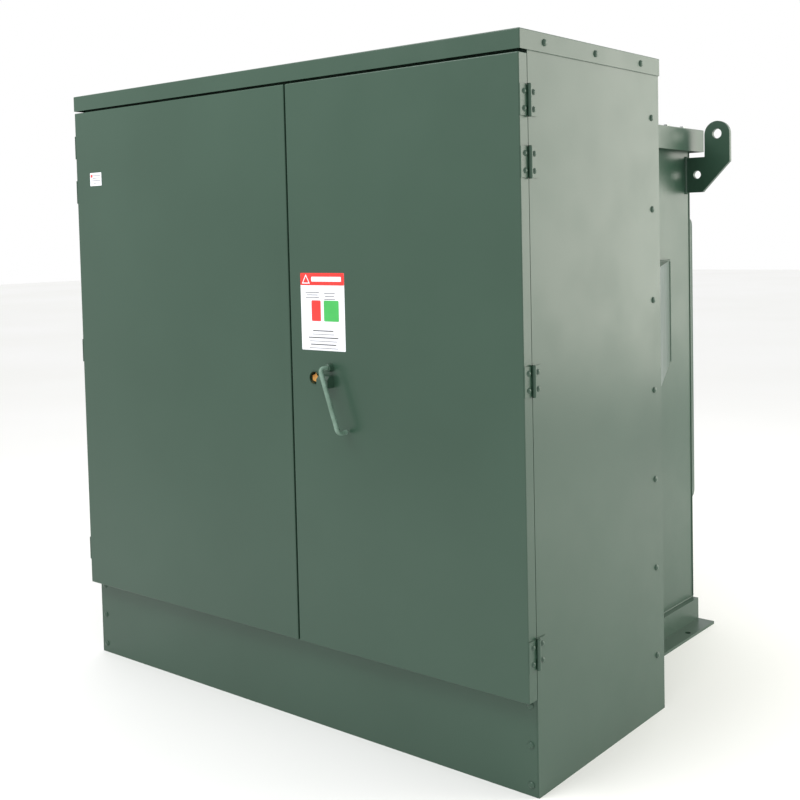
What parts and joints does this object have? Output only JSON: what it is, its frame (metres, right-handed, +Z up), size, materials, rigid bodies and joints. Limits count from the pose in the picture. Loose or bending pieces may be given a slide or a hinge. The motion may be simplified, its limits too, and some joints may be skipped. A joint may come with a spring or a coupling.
{
  "type": "pad-mounted transformer",
  "caption": "Green steel pad-mounted transformer: an oil tank with rear cooling fins behind a two-door cable cabinet with a padlockable handle.",
  "frame": {"origin": "middle of the footprint's bounding box, on the pad", "axes": "+X to the right seen from the doors, +Y back towards the cooling fins, +Z up"},
  "size_m": [1.545, 1.4565, 1.633],
  "materials": {
    "green_paint": "gloss green polyester powder coat on steel",
    "zinc_plated_steel": "bright zinc plated steel",
    "nitrile_rubber": "black nitrile rubber",
    "bushing_rubber": "moulded black EPDM rubber",
    "grey_epoxy": "moulded grey epoxy",
    "tinned_copper": "tin plated copper",
    "brass": "turned brass, lightly tarnished",
    "red_enamel": "red enamel on cast iron",
    "gauge_case": "die-cast aluminium case with a white dial",
    "clear_glass": "clear flat glass",
    "black_phenolic": "moulded black phenolic",
    "cast_aluminium": "sand-cast aluminium",
    "etched_aluminium": "brushed and etched aluminium plate",
    "core_steel": "oiled silicon steel laminations",
    "winding_paper": "oil-soaked kraft paper over the winding",
    "bare_steel": "mill-finish structural steel"
  },
  "bodies": {
    "cabinet": {"base_rails": "green_paint", "tank_shell": "green_paint", "tank_cover": "green_paint", "cover_gasket": "nitrile_rubber", "cover_bolts": "zinc_plated_steel", "lifting_lugs": "green_paint", "wing_braces": "green_paint", "radiator_headers": "green_paint", "radiator_fins": "green_paint", "cabinet_back_frame": "green_paint", "side_panel_left": "green_paint", "side_panel_right": "green_paint", "hood": "green_paint", "sill_panel": "green_paint", "door_frame": "green_paint", "compartment_barrier": "green_paint", "cabinet_bolts": "green_paint", "hinge_leaves_frame": "green_paint", "hinge_pins": "green_paint", "hv_bushings": "bushing_rubber", "parking_stands": "green_paint", "lv_bushings": "grey_epoxy", "lv_spades": "tinned_copper", "ground_pads": "zinc_plated_steel", "fuse_housings": "grey_epoxy", "switch_gland": "cast_aluminium", "tap_changer_gland": "cast_aluminium", "gauge_bodies": "gauge_case", "gauge_glasses": "clear_glass", "relief_valve": "brass", "drain_valve": "brass", "nameplate": "etched_aluminium", "core_laminations": "core_steel", "lv_windings": "winding_paper", "hv_windings": "winding_paper", "core_clamps": "bare_steel"},
    "left_door": {"door_left": "green_paint", "door_left_stiffeners": "green_paint", "hinge_leaves_door_left": "green_paint"},
    "right_door": {"door_right": "green_paint", "door_right_stiffeners": "green_paint", "hinge_leaves_door_right": "green_paint", "handle_bearing": "green_paint", "padlock_hasp": "green_paint", "lock_cup": "green_paint"},
    "handle": {"handle_rod": "green_paint", "latch_cam": "zinc_plated_steel"},
    "upper_rod": {"latch_rod_upper": "zinc_plated_steel"},
    "lower_rod": {"latch_rod_lower": "zinc_plated_steel"},
    "washer": {"lock_bolt_washer": "zinc_plated_steel"},
    "lock_bolt": {"lock_bolt": "brass"},
    "fuse_1": {"fuse_1": "black_phenolic"},
    "fuse_2": {"fuse_2": "black_phenolic"},
    "fuse_3": {"fuse_3": "black_phenolic"},
    "switch_handle": {"switch_handle": "cast_aluminium"},
    "tap_knob": {"tap_knob": "black_phenolic"},
    "level_needle": {"level_needle": "black_phenolic"},
    "thermometer_needle": {"thermometer_needle": "black_phenolic"},
    "relief_ring": {"relief_ring": "zinc_plated_steel"},
    "drain_handwheel": {"drain_handwheel": "red_enamel"}
  },
  "joints": [
    {"name": "right_door_swing", "type": "hinge", "parent": "cabinet", "child": "right_door", "pos_m": [0.7675, -0.65375, 0.9], "axis": [0, 0, 1], "range_deg": [0, 120]},
    {"name": "left_door_swing", "type": "hinge", "parent": "cabinet", "child": "left_door", "pos_m": [-0.7675, -0.65375, 0.9], "axis": [0, 0, -1], "range_deg": [0, 120]},
    {"name": "handle_turn", "type": "hinge", "parent": "right_door", "child": "handle", "pos_m": [0.217, -0.68475, 0.903], "axis": [0, -1, 0], "range_deg": [0, 90]},
    {"name": "upper_rod_slide", "type": "slide", "parent": "right_door", "child": "upper_rod", "axis": [0, 0, 1], "range_m": [0, 0.03404]},
    {"name": "lower_rod_slide", "type": "slide", "parent": "right_door", "child": "lower_rod", "axis": [0, 0, -1], "range_m": [0, 0.03404]},
    {"name": "lock_bolt_travel", "type": "slide", "parent": "right_door", "child": "washer", "axis": [0, -1, 0], "range_m": [0, 0.0054]},
    {"name": "lock_bolt_turn", "type": "hinge", "parent": "washer", "child": "lock_bolt", "pos_m": [0.163, -0.68475, 0.875], "axis": [0, -1, 0], "range_deg": [0, 1081]},
    {"name": "fuse_1_pull", "type": "slide", "parent": "cabinet", "child": "fuse_1", "axis": [0, -1, 0], "range_m": [0, 0.3]},
    {"name": "fuse_2_pull", "type": "slide", "parent": "cabinet", "child": "fuse_2", "axis": [0, -1, 0], "range_m": [0, 0.3]},
    {"name": "fuse_3_pull", "type": "slide", "parent": "cabinet", "child": "fuse_3", "axis": [0, -1, 0], "range_m": [0, 0.3]},
    {"name": "switch_turn", "type": "hinge", "parent": "cabinet", "child": "switch_handle", "pos_m": [-0.275, -0.05975, 1.36], "axis": [0, -1, 0], "range_deg": [0, 90]},
    {"name": "tap_turn", "type": "hinge", "parent": "cabinet", "child": "tap_knob", "pos_m": [-0.43, -0.05975, 1.36], "axis": [0, -1, 0], "range_deg": [-72, 72]},
    {"name": "level_needle_turn", "type": "hinge", "parent": "cabinet", "child": "level_needle", "pos_m": [0.17, -0.05975, 1.33], "axis": [0, 1, 0], "range_deg": [0, 120]},
    {"name": "thermometer_needle_turn", "type": "hinge", "parent": "cabinet", "child": "thermometer_needle", "pos_m": [0.3, -0.05975, 1.33], "axis": [0, 1, 0], "range_deg": [0, 240]},
    {"name": "relief_ring_pull", "type": "slide", "parent": "cabinet", "child": "relief_ring", "axis": [0, -1, 0], "range_m": [0, 0.008], "stiffness_N_per_m": 1500},
    {"name": "drain_handwheel_turn", "type": "hinge", "parent": "cabinet", "child": "drain_handwheel", "pos_m": [0.44, -0.10675, 0.19], "axis": [0, 0, 1], "range_deg": [0, 1080]}
  ],
  "couplings": [
    {"joint": "upper_rod_slide", "follows": "handle_turn", "m_per_rad": 0.021608},
    {"joint": "lower_rod_slide", "follows": "handle_turn", "m_per_rad": 0.021608},
    {"joint": "lock_bolt_turn", "follows": "lock_bolt_travel", "rad_per_m": 3490.7}
  ]
}
